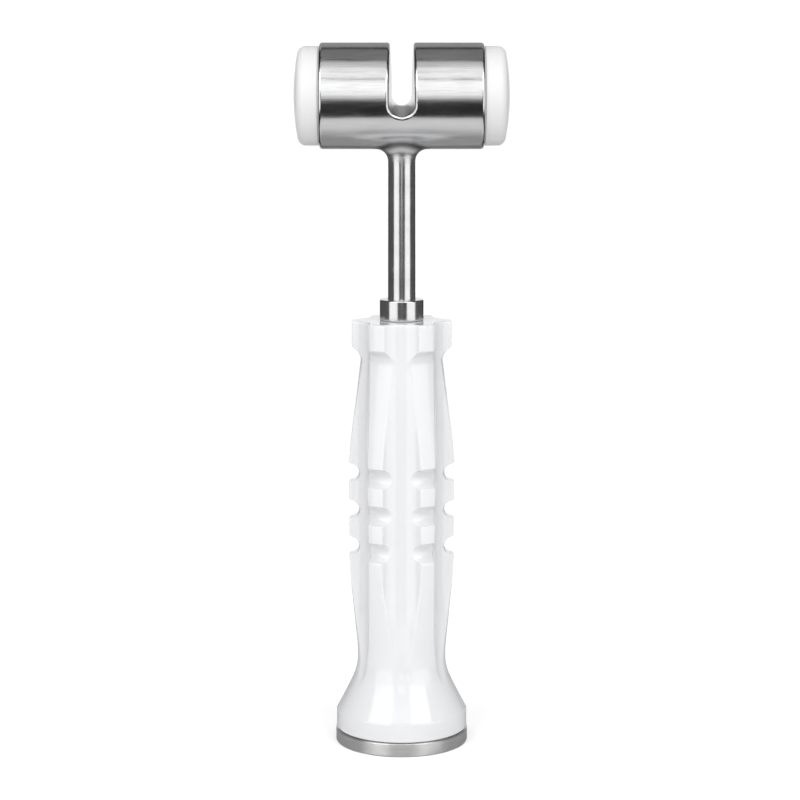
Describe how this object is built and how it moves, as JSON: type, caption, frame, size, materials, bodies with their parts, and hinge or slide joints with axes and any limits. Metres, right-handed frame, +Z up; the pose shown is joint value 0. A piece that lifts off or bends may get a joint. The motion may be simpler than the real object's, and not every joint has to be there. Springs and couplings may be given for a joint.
{
  "type": "surgical mallet",
  "caption": "Slotted steel mallet head with white plastic striking faces on a round shaft, with a fluted, grooved white grip standing on a steel end cap.",
  "frame": {"origin": "centre of the end cap's bottom face, on which the mallet stands", "axes": "+Z up the handle to the head, X along the head from face to face, Y along the slot"},
  "size_m": [0.0764, 0.0482, 0.254],
  "materials": {
    "steel": "satin, fine lines along the turning",
    "cap_steel": "satin, turned",
    "fastener_steel": "machined",
    "face_plastic": "smooth, low gloss",
    "grip_plastic": "smooth, glossy",
    "seal_rubber": "matt"
  },
  "bodies": {
    "root": {"head_and_shaft": "steel", "left_face": "face_plastic", "right_face": "face_plastic", "left_face_stud": "fastener_steel", "right_face_stud": "fastener_steel", "collar": "steel", "collar_seal": "seal_rubber", "grip": "grip_plastic", "tang_washer": "fastener_steel", "tang_nut": "fastener_steel", "end_cap": "cap_steel", "end_cap_seal": "seal_rubber"}
  },
  "joints": []
}
